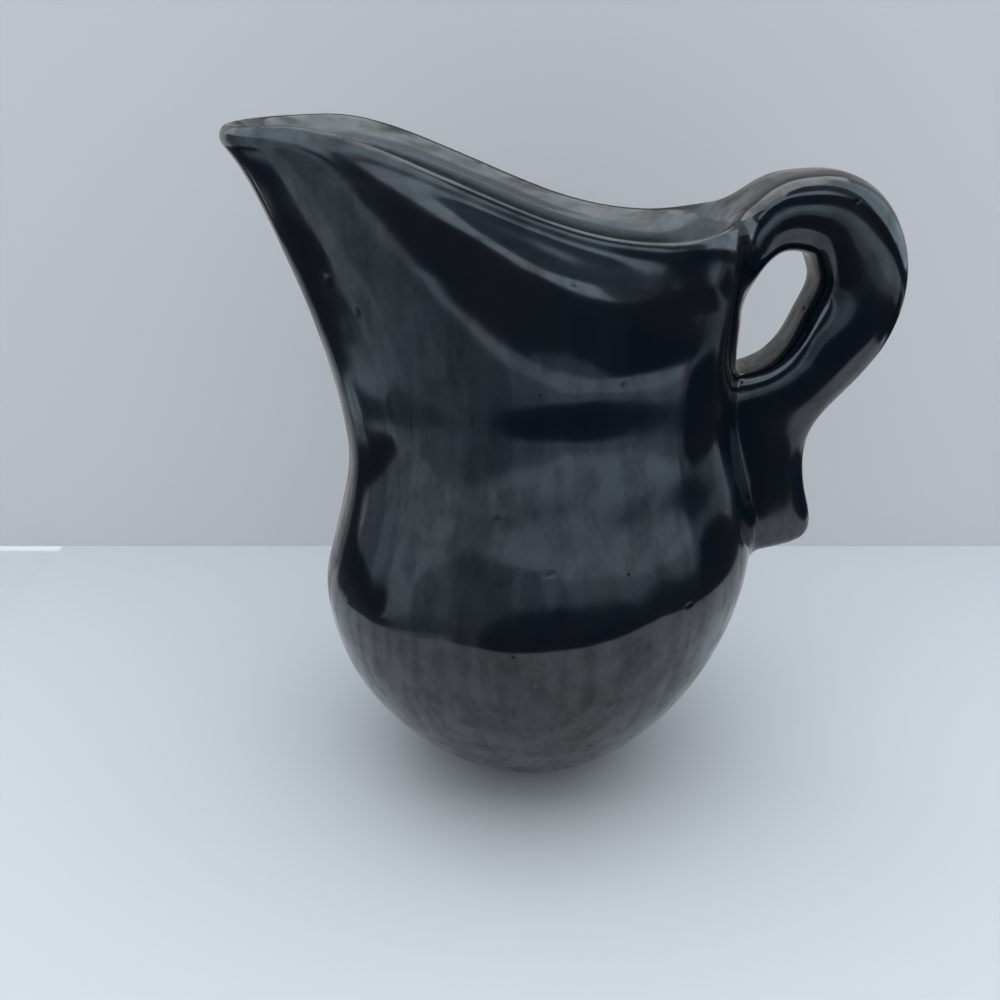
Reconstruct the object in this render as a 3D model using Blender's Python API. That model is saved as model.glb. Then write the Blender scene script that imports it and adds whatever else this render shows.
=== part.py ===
"""Hand-built clay pitcher: a round belly, a waist, a swooping mouth drawn out to a spout
and a thick strap handle that grows out of the rim and runs down the back as a tail.

The wall is one smooth skin over a cage of four-sided faces.  The cage is laid out in rings
from the foot up the outside, over the lip and down the inside.  Every ring has the same
number of corners, so each seam between two clay elements runs straight through the wall.
Units are metres.  +Z is up, the spout points to -X and the handle to +X.
The origin is the middle of the foot, on the ground.
"""
import math

import bmesh
import bpy
from mathutils import Vector

# Foot and belly
FOOT_RADIUS = 0.0160
FOOT_CROWN = 0.0009          # how far the foot bulged before it was rubbed flat
BELLY_RADIUS_FRONT = 0.0586
BELLY_RADIUS_SIDE = 0.0595
BELLY_RADIUS_BACK = 0.0616
BELLY_HEIGHT_FRONT = 0.056   # the widest place lies lower under the spout than under the handle
BELLY_HEIGHT_SIDE = 0.0645
BELLY_HEIGHT_BACK = 0.073
BOWL_FULLNESS = 1.72         # 2 is an oval bowl, less is more pointed
WAIST_RADIUS_FRONT = 0.0503
WAIST_RADIUS_SIDE = 0.0466
WAIST_RADIUS_BACK = 0.0528
WAIST_HEIGHT_FRONT = 0.099   # it climbs towards the sides, where the pot is narrower
WAIST_HEIGHT_SIDE = 0.123
WAIST_HEIGHT_BACK = 0.112
WALL = 0.0055
FLOOR_THICKNESS = 0.0070

# Mouth: an oblong ring that swoops from the spout down to the saddle before the handle
SPOUT_REACH = 0.0720         # crest of the lip, from the axis of the pot
SPOUT_HEIGHT = 0.1821
SPOUT_TIP_DROP = 0.0005      # the very tip hangs a little
SPOUT_POINT = 0.66           # lower draws the sides of the spout out squarer
MOUTH_BACK = 0.0494
MOUTH_HALF_WIDTH = 0.0308
BACK_FULLNESS = 0.52
SADDLE_HEIGHT = 0.1576
SWOOP_START = math.radians(53)
SWOOP_END = math.radians(135)
FLARE = 1.55                 # how late the wall leans out on its way from the waist to the lip
CHIN = 0.0006                # how far the keel of the spout swells under its tip
CHIN_SPREAD = math.radians(50)
CHIN_START = 0.55            # shares of the way from the waist to the lip
CHIN_FULL = 0.90

# Neck: its lower seam at the back, measured down from the saddle
NECK_HEIGHT = 0.0276
NECK_SEAM_RISE = 0.0100      # the seam clears the top of the tail by this much

# Lip
LIP_THICKNESS = 0.0078
LIP_DEPTH = 0.0100
LIP_SIDE_DROP = 0.0030

# Strap handle
STRAP_WIDTH = 0.0225
STRAP_SQUARENESS = 0.84      # 1 gives the strap square corners
STRAP_HOLLOW = 0.95          # its top and underside sink a little in the middle
ROOT_DEPTH = 0.0190          # height of the root where it leaves the rim
ROOT_SPREAD = 2              # segments on each side over which the root runs out into the lip
ROOT_EDGE_LIFT = 0.0040      # the lip climbs at both edges of the strap
ROOT_TROUGH = 0.0008         # the middle lies lower, so the mouth runs out onto the strap
# seven stations of its centre line, from the root to the landing on the tail
STRAP_OUT = (0.0064, 0.0155, 0.0234, 0.0296, 0.0297, 0.0257, 0.0197)
STRAP_THICKNESS = (0.0176, 0.0200, 0.0216, 0.0222, 0.0228, 0.0228, 0.0212)
STRAP_HEIGHT_SHARES = (1.220, 1.300, 1.210, 0.997, 0.713, 0.428, 0.150)  # 0 landing, 1 root

# Tail: rows from its flicked-out tip up to the landing of the strap
TAIL_FOOT_HEIGHT = 0.068
TAIL_RINGS_DROP = 0.010      # the rings of the tail lie this much lower under the spout
TAIL_WIDTH = 0.0225
TAIL_STUB = 0.0030           # clay of the belly drawn up round the tail
TAIL_EDGE = 0.0012           # how far the edges of the tail stand back from its middle
TAIL_STAND = (0.0202, 0.0156, 0.0158, 0.0198, 0.0160, 0.0100)  # out from the wall, row by row
TAIL_RISE = (0.0035, 0.0050, 0.0050, 0.0060, 0.0060, 0.0025)   # above the seat of the row
TAIL_WIDTH_SHARES = (0.98, 1.00, 1.00, 0.94, 1.00, 0.94)

# Layout of the cage
SEGMENTS = 24
FRONT = SEGMENTS // 2
CROWDING = math.radians(6)   # how far segments are drawn towards the spout and the handle
SPOUT_SEGMENTS = 4           # segments of the spout on each side of the front line
BOWL_RINGS = 5               # rings from the foot to the foot of the tail
NECK_RINGS = 3               # spaces between the belly seam and the lip seam
SMOOTHING = 1
SLIP_GAP = 0.0003            # what is left between two elements where the slip held them
SEAM_ANGLE = math.radians(35)  # sharper folds, such as the cut edges of a seam, stay crisp

PIECES = ("base_bowl", "belly_wall", "neck_wall", "spout", "rim_roll", "handle_arch", "handle_tail")
BASE, BELLY, NECK, SPOUT, RIM, ARCH, TAIL = range(len(PIECES))
CLAY_COLOURS = {
    "base_bowl": (0.013, 0.014, 0.016),
    "belly_wall": (0.011, 0.013, 0.017),
    "neck_wall": (0.010, 0.011, 0.013),
    "spout": (0.011, 0.0115, 0.012),
    "rim_roll": (0.015, 0.016, 0.017),
    "handle_arch": (0.010, 0.012, 0.015),
    "handle_tail": (0.010, 0.012, 0.015),
}
CLAY_ROUGHNESS = 0.26


def clear_scene():
    for item in list(bpy.data.objects):
        bpy.data.objects.remove(item, do_unlink=True)


def ease(share):
    """A soft step from 0 to 1."""
    share = min(max(share, 0.0), 1.0)
    return share * share * (3.0 - 2.0 * share)


def angle_of(segment):
    """Angle of a segment.  They lie closer together at the spout and at the handle."""
    even = 2.0 * math.pi * segment / SEGMENTS
    return even - CROWDING * math.sin(2.0 * even)


def front_to_back(front, back, angle):
    """A size that changes round the pot from its value at the spout to that at the handle."""
    return front + (back - front) * (1.0 + math.cos(angle)) / 2.0


def around(front, side, back, angle):
    """A size with its own values at the spout, the sides and the handle."""
    end = back if math.cos(angle) > 0.0 else front
    return side + (end - side) * math.cos(angle) ** 2


def oval(angle, front, side, back):
    """A point on a level ring with its own reach to the front, the sides and the back."""
    reach = back if math.cos(angle) > 0.0 else front
    return reach * math.cos(angle), side * math.sin(angle)


def mouth_crest(angle):
    """A point on the crest of the lip."""
    middle = (MOUTH_BACK - SPOUT_REACH) / 2.0
    half_length = (MOUTH_BACK + SPOUT_REACH) / 2.0
    squareness = SPOUT_POINT if math.cos(angle) < 0.0 else BACK_FULLNESS
    across = math.sin(angle)
    width = math.copysign(abs(across) ** squareness, across) * MOUTH_HALF_WIDTH
    turn = math.acos(math.cos(angle))
    climb = ease((turn - SWOOP_START) / (SWOOP_END - SWOOP_START))
    height = SADDLE_HEIGHT + (SPOUT_HEIGHT - SADDLE_HEIGHT) * climb
    height -= SPOUT_TIP_DROP * ease((turn - SWOOP_END) / (math.pi - SWOOP_END))
    return Vector((middle + half_length * math.cos(angle), width, height))


def mouth_outward(angle):
    """Level direction away from the mouth, square to its lip."""
    step = math.pi / SEGMENTS
    along = mouth_crest(angle + step) - mouth_crest(angle - step)
    return Vector((along.y, -along.x, 0.0)).normalized()


def outer_wall(angle, height):
    """A point on the outside of the pot, below the lip."""
    belly_height = around(BELLY_HEIGHT_FRONT, BELLY_HEIGHT_SIDE, BELLY_HEIGHT_BACK, angle)
    waist_height = around(WAIST_HEIGHT_FRONT, WAIST_HEIGHT_SIDE, WAIST_HEIGHT_BACK, angle)
    waist = oval(angle, WAIST_RADIUS_FRONT, WAIST_RADIUS_SIDE, WAIST_RADIUS_BACK)
    belly = oval(angle, BELLY_RADIUS_FRONT, BELLY_RADIUS_SIDE, BELLY_RADIUS_BACK)
    if height < belly_height:
        # a rounded bowl whose lower end is cut off where it has narrowed to the foot
        widest = math.hypot(*belly)
        cut = (1.0 - (FOOT_RADIUS / widest) ** BOWL_FULLNESS) ** (1.0 / BOWL_FULLNESS)
        depth = cut * (1.0 - height / belly_height)
        share = (1.0 - depth ** BOWL_FULLNESS) ** (1.0 / BOWL_FULLNESS)
        x, y = belly[0] * share, belly[1] * share
    elif height < waist_height:
        share = ease((height - belly_height) / (waist_height - belly_height))
        x = belly[0] + (waist[0] - belly[0]) * share
        y = belly[1] + (waist[1] - belly[1]) * share
    else:
        lip = mouth_crest(angle) + mouth_outward(angle) * (LIP_THICKNESS / 2.0)
        climb = min(1.0, (height - waist_height) / (lip.z - waist_height))
        share = climb ** FLARE
        x = waist[0] + (lip.x - waist[0]) * share
        y = waist[1] + (lip.y - waist[1]) * share
        from_keel = math.pi - math.acos(math.cos(angle))
        swell = ease((climb - CHIN_START) / (CHIN_FULL - CHIN_START))
        x -= CHIN * swell * ease(1.0 - from_keel / CHIN_SPREAD)
    return Vector((x, y, height))


def root_share(segment):
    """1 where the strap leaves the rim, running out to 0 along the lip."""
    from_back = min(segment, SEGMENTS - segment)
    return ease((1 + ROOT_SPREAD - from_back) / ROOT_SPREAD)


def lip_depth(segment):
    """Height of the rim roll, which deepens to take the root of the strap."""
    return LIP_DEPTH + (ROOT_DEPTH - LIP_DEPTH) * root_share(segment)


def root_lift(segment):
    """Rise of the lip at the edges of the strap and the trough between them."""
    trough = ROOT_TROUGH if segment == 0 else 0.0
    return ROOT_EDGE_LIFT * root_share(segment) - trough


def wall_rings():
    """Points of the outside, ring by ring from the edge of the foot to the foot of the lip."""
    rings = []
    tail_spaces = len(TAIL_STAND) - 1
    tail_top = SADDLE_HEIGHT - NECK_HEIGHT - NECK_SEAM_RISE
    for ring in range(BOWL_RINGS):
        share = 1.0 - math.cos(0.5 * math.pi * ring / BOWL_RINGS)
        rings.append([share * front_to_back(TAIL_FOOT_HEIGHT - TAIL_RINGS_DROP, TAIL_FOOT_HEIGHT,
                                            angle_of(s)) for s in range(SEGMENTS)])
    for row in range(tail_spaces + 1):
        height = TAIL_FOOT_HEIGHT + (tail_top - TAIL_FOOT_HEIGHT) * row / tail_spaces
        rings.append([front_to_back(height - TAIL_RINGS_DROP, height, angle_of(s))
                      for s in range(SEGMENTS)])
    seam = [height + NECK_SEAM_RISE for height in rings[-1]]
    lip = [mouth_crest(angle_of(s)).z - lip_depth(s) for s in range(SEGMENTS)]
    for ring in range(NECK_RINGS + 1):
        share = ring / NECK_RINGS
        rings.append([low + (high - low) * share for low, high in zip(seam, lip)])
    return [[outer_wall(angle_of(s), height) for s, height in enumerate(ring)] for ring in rings]


def inward_offset(rings, ring, segment, distance):
    """The point of the inside that lies square through the wall."""
    below = rings[max(ring - 1, 0)][segment]
    above = rings[min(ring + 1, len(rings) - 1)][segment]
    left = rings[ring][segment - 1]
    right = rings[ring][(segment + 1) % SEGMENTS]
    outward = (right - left).cross(above - below).normalized()
    return rings[ring][segment] - outward * distance


class Cage:
    """Corners where the finished clay has to pass, and faces that carry their element."""

    def __init__(self):
        self.bm = bmesh.new()
        self.thumbed = set()     # corners where clay was thumbed smooth between two elements

    def ring(self, points):
        return [self.bm.verts.new(point) for point in points]

    def face(self, corners, piece):
        face = self.bm.faces.new(corners)
        face.material_index = piece
        return face

    def band(self, low, high, piece_of):
        """Faces between two closed rings.  piece_of gives the element, or None for no face."""
        count = len(low)
        for here in range(count):
            there = (here + 1) % count
            piece = piece_of(here)
            if piece is not None:
                self.face((low[here], low[there], high[there], high[here]), piece)


def smoothed_corner(vert):
    """Where the smooth skin passes a corner of the cage."""
    count = len(vert.link_edges)
    total = vert.co * (count * count)
    for edge in vert.link_edges:
        total += 4.0 * edge.other_vert(vert).co
    for face in vert.link_faces:
        corners = list(face.verts)
        total += corners[(corners.index(vert) + 2) % 4].co
    return total / (count * (count + 5))


def pull_cage_out(cage, rounds=4):
    """Move the corners out until the smooth skin passes where they were laid.

    Thumbed corners stay, so that the skin runs round them in a soft fillet.
    """
    free = [v for v in cage.bm.verts
            if v not in cage.thumbed and all(len(f.verts) == 4 for f in v.link_faces)]
    wanted = {v: v.co.copy() for v in free}
    for _ in range(rounds):
        moved = {v: v.co + wanted[v] - smoothed_corner(v) for v in free}
        for vert, place in moved.items():
            vert.co = place


def wall_piece(ring, segment, neck_ring, bowl_ring):
    """The element that a face of the wall belongs to."""
    if ring < bowl_ring:
        return BASE
    if ring < neck_ring:
        return BELLY
    in_spout = FRONT - SPOUT_SEGMENTS <= segment < FRONT + SPOUT_SEGMENTS
    return SPOUT if in_spout else NECK


def strap_ring(centre, thick, width, thickness):
    """Eight corners round the strap: along the top, down a side, along the underside and up."""
    across = Vector((0.0, 1.0, 0.0))
    corner = STRAP_SQUARENESS
    shape = ((-corner, corner), (0.0, STRAP_HOLLOW), (corner, corner), (1.0, 0.0),
             (corner, -corner), (0.0, -STRAP_HOLLOW), (-corner, -corner), (-1.0, 0.0))
    return [centre + across * (0.5 * width * u) + thick * (0.5 * thickness * v) for u, v in shape]


def back_wall(height):
    return outer_wall(0.0, height).x


def strap_path(root, landing):
    """Centre, thickness direction and thickness of each ring along the strap."""
    centres = []
    for out, share, thickness in zip(STRAP_OUT, STRAP_HEIGHT_SHARES, STRAP_THICKNESS):
        height = landing.z + (root.z - landing.z) * share
        wall = back_wall(min(height, root.z))
        centres.append((Vector((wall + out, 0.0, height)), thickness))
    points = [root] + [centre for centre, _ in centres] + [landing]
    path = []
    for index, (centre, thickness) in enumerate(centres):
        along = (points[index + 2] - points[index]).normalized()
        thick = Vector((-along.z, 0.0, along.x))
        path.append((centre, thick, thickness))
    return path


def build_cage():
    cage = Cage()
    rings = wall_rings()
    seats = len(TAIL_STAND)
    tail_ring = BOWL_RINGS
    neck_ring = tail_ring + seats
    bowl_ring = BOWL_RINGS - 1
    top = len(rings) - 1
    at_back = (0, SEGMENTS - 1)

    def inside_piece(ring):
        return lambda s: wall_piece(ring, s, neck_ring, bowl_ring)

    def outside_piece(ring):
        behind_tail = tail_ring <= ring < tail_ring + seats - 1
        return lambda s: None if behind_tail and s in at_back else inside_piece(ring)(s)

    # the outside, without the seat of the tail
    outer = [cage.ring(points) for points in rings]
    for ring in range(top):
        cage.band(outer[ring], outer[ring + 1], outside_piece(ring))

    # the lip, without the root of the strap
    crests, sides_out, sides_in = [], [], []
    for segment in range(SEGMENTS):
        angle = angle_of(segment)
        crest = mouth_crest(angle) + Vector((0.0, 0.0, root_lift(segment)))
        outward = mouth_outward(angle) * (LIP_THICKNESS / 2.0)
        drop = LIP_SIDE_DROP + (lip_depth(segment) - LIP_DEPTH) / 2.0
        crests.append(crest)
        sides_out.append(crest + outward - Vector((0.0, 0.0, drop)))
        sides_in.append(crest - outward - Vector((0.0, 0.0, drop)))
    side_out, crest_ring, side_in = cage.ring(sides_out), cage.ring(crests), cage.ring(sides_in)
    cage.band(outer[top], side_out, lambda s: None if s in at_back else RIM)
    cage.band(side_out, crest_ring, lambda s: None if s in at_back else RIM)
    cage.band(crest_ring, side_in, lambda s: RIM)

    # the inside, down to the floor
    inner = [cage.ring([inward_offset(rings, ring, s, WALL) for s in range(SEGMENTS)])
             for ring in range(top + 1)]
    cage.band(side_in, inner[top], lambda s: RIM)
    for ring in reversed(range(top)):
        cage.band(inner[ring + 1], inner[ring], inside_piece(ring))
    for vert in inner[0]:
        vert.co.z = FLOOR_THICKNESS
    foot_middle = cage.bm.verts.new((0.0, 0.0, -FOOT_CROWN))
    floor_middle = cage.bm.verts.new((0.0, 0.0, FLOOR_THICKNESS - FOOT_CROWN))
    for here in range(SEGMENTS):
        there = (here + 1) % SEGMENTS
        cage.face((outer[0][there], outer[0][here], foot_middle), BASE)
        cage.face((inner[0][here], inner[0][there], floor_middle), BASE)

    # the tail: a stub drawn up from the belly, then the tail itself
    columns = (SEGMENTS - 1, 0, 1)
    seat_rows = [[outer[tail_ring + row][s] for s in columns] for row in range(seats)]
    stub_rows, tail_rows = [], []
    for row, (stand, rise, share) in enumerate(zip(TAIL_STAND, TAIL_RISE, TAIL_WIDTH_SHARES)):
        middle = seat_rows[row][1].co
        stub, tail = [], []
        for side, vert in zip((-1.0, 0.0, 1.0), seat_rows[row]):
            edge = side * 0.5 * TAIL_WIDTH * share
            lift = rise * TAIL_STUB / stand
            stub.append(vert.co + Vector((TAIL_STUB, (edge - vert.co.y) / 2.0, lift)))
            tail.append(Vector((middle.x + stand - TAIL_EDGE * abs(side), edge, middle.z + rise)))
        stub_rows.append([cage.bm.verts.new(p) if keep_edge(row, column, seats) else None
                          for column, p in enumerate(stub)])
        tail_rows.append([cage.bm.verts.new(p) if keep_tail(row, column, seats) else None
                          for column, p in enumerate(tail)])
    seat_edge = patch_edge(seat_rows)
    stub_edge = patch_edge(stub_rows)
    tail_edge = patch_edge(tail_rows)
    cage.band(seat_edge, stub_edge, lambda s: BELLY)
    cage.band(stub_edge, tail_edge, lambda s: TAIL)
    for row in range(seats - 3):
        for column in range(2):
            cage.face((tail_rows[row][column], tail_rows[row][column + 1],
                       tail_rows[row + 1][column + 1], tail_rows[row + 1][column]), TAIL)

    # the strap from its root on the rim to its landing on the tail
    root = [crest_ring[-1], crest_ring[0], crest_ring[1], side_out[1],
            outer[top][1], outer[top][0], outer[top][-1], side_out[-1]]
    low, beside, under = tail_rows[seats - 3], tail_rows[seats - 2], tail_rows[seats - 1]
    landing = [low[0], low[1], low[2], beside[2], under[2], under[1], under[0], beside[0]]
    path = strap_path(mean_place(root), mean_place(landing))
    loops = [root]
    for centre, thick, thickness in path:
        loops.append(cage.ring(strap_ring(centre, thick, STRAP_WIDTH, thickness)))
    loops.append(landing)
    pieces = [RIM] + [ARCH] * (len(loops) - 3) + [TAIL]
    for piece, low, high in zip(pieces, loops, loops[1:]):
        cage.band(low, high, lambda s: piece)
    cage.thumbed.update(root, seat_edge, stub_edge)
    cage.thumbed.update(vert for row in tail_rows for vert in row if vert)
    covered = [vert for vert in cage.bm.verts if not vert.link_faces]
    bmesh.ops.delete(cage.bm, geom=covered, context='VERTS')
    return cage


def keep_edge(row, column, rows):
    """Only the border of the stub is in the cage."""
    return column != 1 or row in (0, rows - 1)


def keep_tail(row, column, rows):
    """The middle of the landing is left open for the strap."""
    return not (column == 1 and row == rows - 2)


def patch_edge(rows):
    """Corners round a patch three corners wide, against the clock seen from outside."""
    edge = list(rows[0])
    edge += [row[2] for row in rows[1:-1]]
    edge += list(reversed(rows[-1]))
    edge += [row[0] for row in reversed(rows[1:-1])]
    return edge


def mean_place(verts):
    total = Vector()
    for vert in verts:
        total += vert.co
    return total / len(verts)


def smooth_skin(bm):
    """The cage as a mesh with its smooth skin worked out."""
    mesh = bpy.data.meshes.new("clay_skin")
    bm.to_mesh(mesh)
    for piece in PIECES:
        mesh.materials.append(clay(piece))
    guide = bpy.data.objects.new("clay_guide", mesh)
    guide.hide_render = True
    guide.display_type = 'WIRE'
    bpy.context.scene.collection.objects.link(guide)
    skin = guide.modifiers.new("skin", 'SUBSURF')
    skin.levels = SMOOTHING
    skin.render_levels = SMOOTHING
    skin.use_limit_surface = True
    bpy.context.view_layer.update()
    smooth = bpy.data.meshes.new_from_object(guide.evaluated_get(
        bpy.context.evaluated_depsgraph_get()))
    bpy.data.objects.remove(guide, do_unlink=True)
    return smooth


def clay(name):
    """Burnished black clay, a little different in tone from piece to piece."""
    if name in bpy.data.materials:
        return bpy.data.materials[name]
    material = bpy.data.materials.new(name)
    material.use_nodes = True
    shader = material.node_tree.nodes["Principled BSDF"]
    shader.inputs["Base Color"].default_value = (*CLAY_COLOURS[name], 1.0)
    shader.inputs["Roughness"].default_value = CLAY_ROUGHNESS
    shader.inputs["Metallic"].default_value = 0.0
    material.diffuse_color = (*CLAY_COLOURS[name], 1.0)
    return material


def draw_back_seams(bm, distance):
    """Pull every open border into its own surface, so that neighbours lie apart."""
    shifts = {}
    for edge in bm.edges:
        if len(edge.link_faces) != 1:
            continue
        face = edge.link_faces[0]
        along = edge.verts[1].co - edge.verts[0].co
        inward = face.normal.cross(along).normalized()
        middle = (edge.verts[0].co + edge.verts[1].co) / 2.0
        if inward.dot(face.calc_center_median() - middle) < 0.0:
            inward.negate()
        for vert in edge.verts:
            shifts.setdefault(vert, []).append(inward)
    for vert, (first, second) in shifts.items():
        vert.co += (first + second) * (distance / (1.0 + first.dot(second)))


def border_loops(bm):
    """The open borders of a mesh as separate lists of edges."""
    waiting = {edge for edge in bm.edges if len(edge.link_faces) == 1}
    loops = []
    while waiting:
        edge = waiting.pop()
        loop, front = [edge], list(edge.verts)
        while front:
            vert = front.pop()
            for link in vert.link_edges:
                if link in waiting:
                    waiting.remove(link)
                    loop.append(link)
                    front += [v for v in link.verts if v is not vert]
        loops.append(loop)
    return loops


def in_order(loop):
    """Corners of a closed border in the order they follow each other."""
    edges = set(loop)
    edge, vert = loop[0], loop[0].verts[0]
    corners = []
    while vert not in corners:
        corners.append(vert)
        vert = edge.other_vert(vert)
        edge = next(link for link in vert.link_edges if link in edges and link is not edge)
    return corners


def join_through_wall(bm, first, second):
    """Faces between two borders that face each other across the wall."""
    here, there = in_order(first), in_order(second)
    count = len(here)

    def spread(order):
        return sum((a.co - b.co).length_squared for a, b in zip(here, order))

    turned = [order[shift:] + order[:shift] for order in (there, there[::-1])
              for shift in range(count)]
    facing = min(turned, key=spread)
    for index in range(count):
        after = (index + 1) % count
        quad = [here[index], here[after], facing[after], facing[index]]
        # both faces of a seam break along the diagonal from their highest corner
        top = max(range(4), key=lambda corner: quad[corner].co.z)
        quad = quad[top:] + quad[:top]
        bm.faces.new(quad[:3])
        bm.faces.new((quad[0], quad[2], quad[3]))


def loop_middle(loop):
    verts = {vert for edge in loop for vert in edge.verts}
    return mean_place(verts)


def cap(bm, loop):
    """Close the cut end of the strap with a fan of faces."""
    face = bmesh.ops.contextual_create(bm, geom=loop)["faces"][0]
    bmesh.ops.poke(bm, faces=[face])


def close_borders(bm):
    """Join outside to inside through the wall, and close the cuts of the strap behind it."""
    wall_loops = []
    for loop in border_loops(bm):
        if loop_middle(loop).x > MOUTH_BACK / 2.0:
            cap(bm, loop)
        else:
            wall_loops.append(loop)
    wall_loops.sort(key=lambda loop: loop_middle(loop).z)
    for first, second in zip(wall_loops[0::2], wall_loops[1::2]):
        join_through_wall(bm, first, second)


def rub_foot_flat(bm):
    """Take off what hangs below the ground and close the foot with a flat face."""
    everything = bm.verts[:] + bm.edges[:] + bm.faces[:]
    bmesh.ops.bisect_plane(bm, geom=everything, plane_co=(0.0, 0.0, 0.0),
                           plane_no=(0.0, 0.0, 1.0), clear_inner=True)
    edges = [edge for edge in bm.edges if len(edge.link_faces) == 1]
    bmesh.ops.contextual_create(bm, geom=edges)


def lift_piece(skin, index):
    """One clay element as its own closed solid."""
    bm = bmesh.new()
    bm.from_mesh(skin)
    others = [face for face in bm.faces if face.material_index != index]
    bmesh.ops.delete(bm, geom=others, context='FACES')
    bm.normal_update()
    draw_back_seams(bm, SLIP_GAP / 2.0)
    close_borders(bm)
    if index == BASE:
        rub_foot_flat(bm)
    bmesh.ops.recalc_face_normals(bm, faces=bm.faces)
    for face in bm.faces:
        face.material_index = 0
    mesh = bpy.data.meshes.new(PIECES[index])
    bm.to_mesh(mesh)
    bm.free()
    mesh.materials.clear()
    mesh.materials.append(clay(PIECES[index]))
    mesh.shade_smooth()
    mesh.set_sharp_from_angle(angle=SEAM_ANGLE)
    piece = bpy.data.objects.new(PIECES[index], mesh)
    bpy.context.scene.collection.objects.link(piece)
    return piece


def main():
    clear_scene()
    cage = build_cage()
    pull_cage_out(cage)
    skin = smooth_skin(cage.bm)
    cage.bm.free()
    pitcher = bpy.data.objects.new("pitcher", None)
    bpy.context.scene.collection.objects.link(pitcher)
    for index in range(len(PIECES)):
        lift_piece(skin, index).parent = pitcher
    bpy.data.meshes.remove(skin)


main()
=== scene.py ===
"""Looks of a hand-built, smoke-blackened clay pitcher with a swooping mouth and a strap handle.

The skin of the pot is laid out as a cage of four-sided faces, smoothed, worked over as a hand
works clay, and cut into the seven elements that the potter joined.  Units are metres, +Z is
up, the spout points to -X and the handle to +X.
"""
import math

import bmesh
import bpy
import numpy as np
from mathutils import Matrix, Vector


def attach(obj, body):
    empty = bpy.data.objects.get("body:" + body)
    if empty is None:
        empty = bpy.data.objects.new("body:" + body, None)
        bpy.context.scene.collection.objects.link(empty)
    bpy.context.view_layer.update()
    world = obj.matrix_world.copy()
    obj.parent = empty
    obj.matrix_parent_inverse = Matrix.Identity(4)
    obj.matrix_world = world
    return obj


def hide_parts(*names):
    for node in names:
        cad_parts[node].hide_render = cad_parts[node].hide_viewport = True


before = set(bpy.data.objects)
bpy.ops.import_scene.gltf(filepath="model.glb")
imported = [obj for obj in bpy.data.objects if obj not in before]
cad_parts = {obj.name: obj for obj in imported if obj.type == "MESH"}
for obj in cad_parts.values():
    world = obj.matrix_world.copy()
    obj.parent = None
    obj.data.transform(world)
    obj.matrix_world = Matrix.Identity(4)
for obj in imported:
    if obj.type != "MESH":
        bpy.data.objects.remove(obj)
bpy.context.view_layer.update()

# Foot and belly
FOOT_RADIUS = 0.0160
FOOT_CROWN = 0.0009          # how far the foot bulged before it was rubbed flat
BELLY_RADIUS_FRONT = 0.0586
BELLY_RADIUS_SIDE = 0.0595
BELLY_RADIUS_BACK = 0.0616
BELLY_HEIGHT_FRONT = 0.056
BELLY_HEIGHT_SIDE = 0.0645
BELLY_HEIGHT_BACK = 0.073
BOWL_FULLNESS = 1.72         # 2 is an oval bowl, less is more pointed
WAIST_RADIUS_FRONT = 0.0503
WAIST_RADIUS_SIDE = 0.0466
WAIST_RADIUS_BACK = 0.0528
WAIST_HEIGHT_FRONT = 0.099
WAIST_HEIGHT_SIDE = 0.123
WAIST_HEIGHT_BACK = 0.112
WALL = 0.0055
FLOOR_THICKNESS = 0.0070

# Mouth
SPOUT_REACH = 0.0720
SPOUT_HEIGHT = 0.1821
SPOUT_TIP_DROP = 0.0005
SPOUT_POINT = 0.66           # lower draws the sides of the spout out squarer
MOUTH_BACK = 0.0494
MOUTH_HALF_WIDTH = 0.0308
BACK_FULLNESS = 0.52
SADDLE_HEIGHT = 0.1576
SWOOP_START = math.radians(53)
SWOOP_END = math.radians(135)
FLARE = 1.55                 # how late the wall leans out on its way from the waist to the lip
CHIN = 0.0006
CHIN_SPREAD = math.radians(50)
CHIN_START = 0.55
CHIN_FULL = 0.90

# Neck and lip
NECK_HEIGHT = 0.0276
NECK_SEAM_RISE = 0.0100
LIP_THICKNESS = 0.0078
LIP_DEPTH = 0.0100
LIP_SIDE_DROP = 0.0036
LIP_CREST_SHIFT = 0.0013     # the crest lies this far out from the middle of the lip
LIP_INNER_DROP = 0.0062      # the inner face slopes down into the mouth

# Strap handle
STRAP_WIDTH = 0.0225
STRAP_SQUARENESS = 0.90      # 1 gives the strap square corners
STRAP_FULLNESS = 1.11        # the thumb takes this much off its sides again
STRAP_HOLLOW = 0.94          # its top and underside sink a little in the middle
ROOT_REACH = 0.30            # share of the strap that still has something of its root
LANDING_REACH = 0.25
ROOT_DEPTH = 0.0190
ROOT_SPREAD = 2
ROOT_EDGE_LIFT = 0.0048
ROOT_TROUGH = 0.0008
# Middle of the strap (x, z) and its thickness, from the root over the top to the landing
STRAP_COURSE = ((0.0582, 0.1600, 0.0180), (0.0641, 0.1613, 0.0188), (0.0708, 0.1611, 0.0208),
                (0.0764, 0.1587, 0.0230), (0.0803, 0.1538, 0.0233), (0.0828, 0.1475, 0.0233),
                (0.0834, 0.1411, 0.0237), (0.0817, 0.1343, 0.0242), (0.0779, 0.1278, 0.0242),
                (0.0741, 0.1219, 0.0236))

# Tail
TAIL_FOOT_HEIGHT = 0.068
TAIL_RINGS_DROP = 0.010
TAIL_WIDTH = 0.0225
TAIL_STUB = 0.0030
TAIL_EDGE = 0.0012
TAIL_STAND = (0.0202, 0.0156, 0.0158, 0.0198, 0.0160, 0.0100)
TAIL_RISE = (0.0035, 0.0050, 0.0050, 0.0060, 0.0060, 0.0025)
TAIL_WIDTH_SHARES = (0.98, 1.00, 1.00, 0.94, 1.00, 0.94)

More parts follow.
